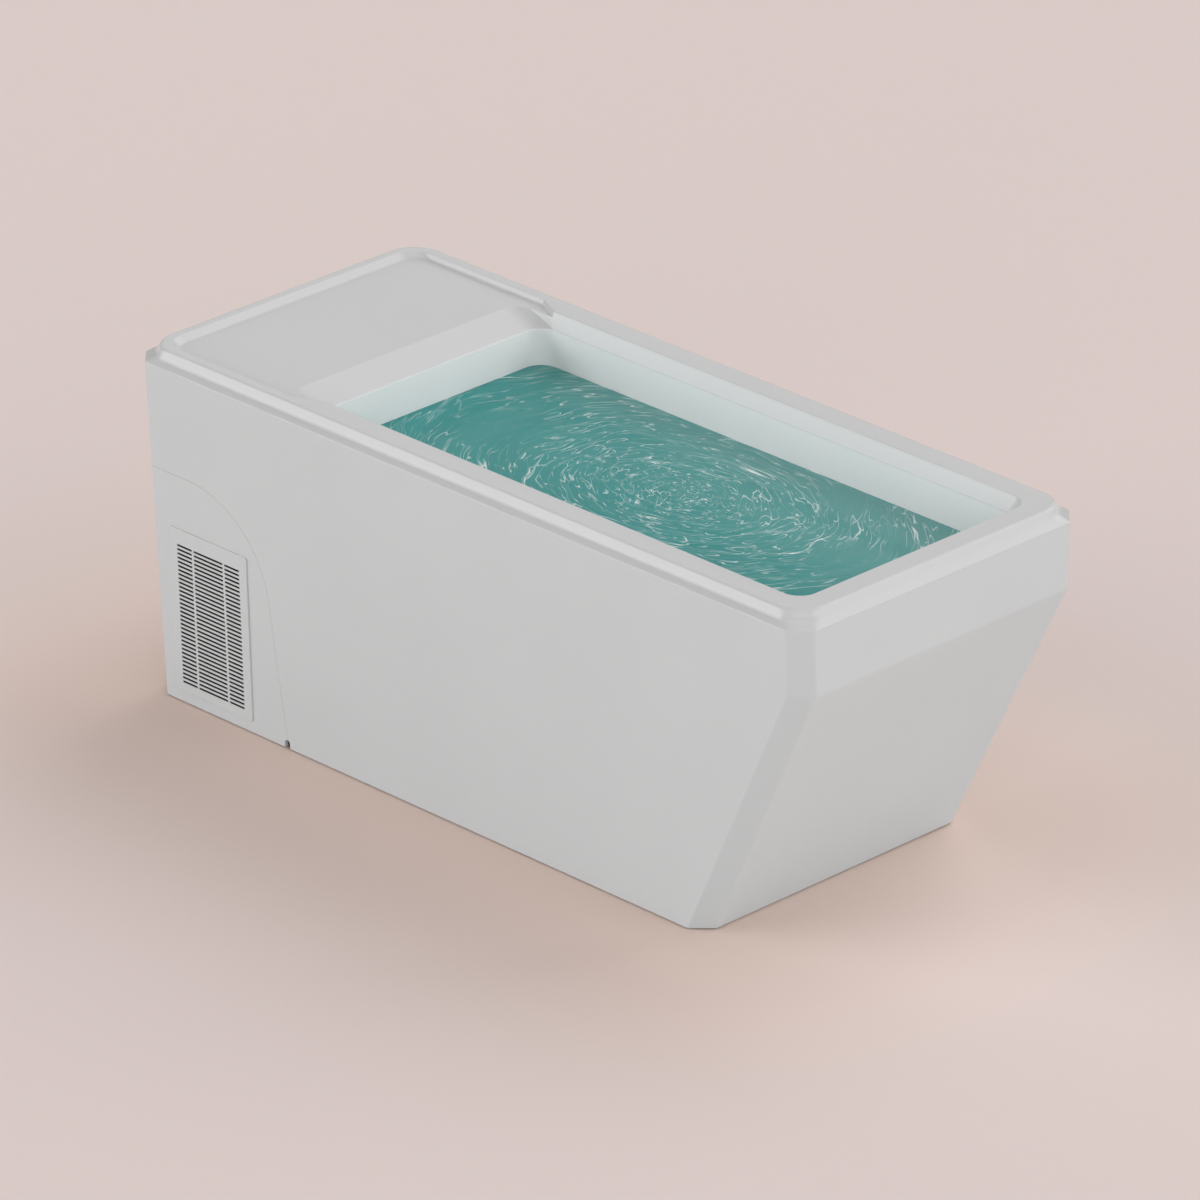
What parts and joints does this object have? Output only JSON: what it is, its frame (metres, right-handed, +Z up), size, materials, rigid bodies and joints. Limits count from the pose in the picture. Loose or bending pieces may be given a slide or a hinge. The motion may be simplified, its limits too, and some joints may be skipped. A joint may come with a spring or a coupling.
{
  "type": "cold plunge tub",
  "caption": "One-person cold plunge tub with a sloped foot end, a deck over its built-in chiller and a vented pull-off cover",
  "frame": {"origin": "floor level, under the middle of the tub's box", "axes": "+Z up, +X along the tub to the sloped foot end, the deck and its chiller at -X"},
  "size_m": [1.88, 0.79, 0.773],
  "materials": {
    "shell": "satin",
    "moulding": "satin",
    "liner": "gloss",
    "foam": "matte",
    "plywood": "matte",
    "rubber": "matte",
    "steel": "satin",
    "painted": "satin",
    "copper": "polished",
    "aluminium": "satin",
    "plastic": "matte",
    "fitting": "satin",
    "paper": "matte",
    "brass": "satin",
    "lever": "satin"
  },
  "bodies": {
    "tub": {"near_side_panel": "shell", "far_side_panel": "shell", "foot_end_panel": "shell", "head_end_panel": "shell", "rim_and_deck": "moulding", "basin_liner": "liner", "insulation_foam": "foam", "base_board": "plywood", "bearer_near": "plywood", "bearer_far": "plywood", "foot_pad_1": "rubber", "foot_pad_2": "rubber", "foot_pad_3": "rubber", "foot_pad_4": "rubber", "foot_pad_5": "rubber", "foot_pad_6": "rubber", "suction_hose": "rubber", "pump_hose": "rubber", "filter_hose": "rubber", "return_hose": "rubber", "cover_catch_rail": "steel", "fan_shroud": "steel", "heat_exchanger": "steel", "compressor": "painted", "fan_motor": "painted", "discharge_line": "copper", "liquid_line": "copper", "suction_line": "copper", "condenser_coil": "aluminium", "bulkhead": "plastic", "circulation_pump": "plastic", "control_box": "plastic", "power_gland": "plastic", "suction_fitting": "fitting", "return_fitting": "fitting", "floor_drain": "fitting", "drain_pipe": "fitting", "filter_housing": "fitting", "filter_cartridge": "paper", "drain_valve_body": "brass", "drain_hose_tail": "brass"},
    "service_cover": {"service_cover": "shell", "vent_grille_near": "shell", "vent_grille_far": "shell"},
    "fan": {"fan_rotor": "plastic"},
    "filter_lid": {"filter_lid": "plastic"},
    "drain_lever": {"drain_valve_lever": "lever"},
    "power_rocker": {"power_rocker": "lever"}
  },
  "joints": [
    {"name": "cover_slide", "type": "slide", "parent": "tub", "child": "service_cover", "axis": [-1, 0, 0], "range_m": [0, 0.45]},
    {"name": "fan_spin", "type": "hinge", "parent": "tub", "child": "fan", "pos_m": [-0.732, -0.2587, 0.2046], "axis": [0, 1, 0], "continuous": true},
    {"name": "filter_lid_turn", "type": "hinge", "parent": "tub", "child": "filter_lid", "pos_m": [-0.83, -0.09, 0.3269], "axis": [0, 0, 1], "range_deg": [0, 60]},
    {"name": "drain_lever_turn", "type": "hinge", "parent": "tub", "child": "drain_lever", "pos_m": [-0.5849, 0, 0.1249], "axis": [0, 0, 1], "range_deg": [0, 90]},
    {"name": "power_rocker_tilt", "type": "hinge", "parent": "tub", "child": "power_rocker", "pos_m": [-0.5659, 0.13, 0.55], "axis": [0, -1, 0], "range_deg": [0, 20]}
  ]
}
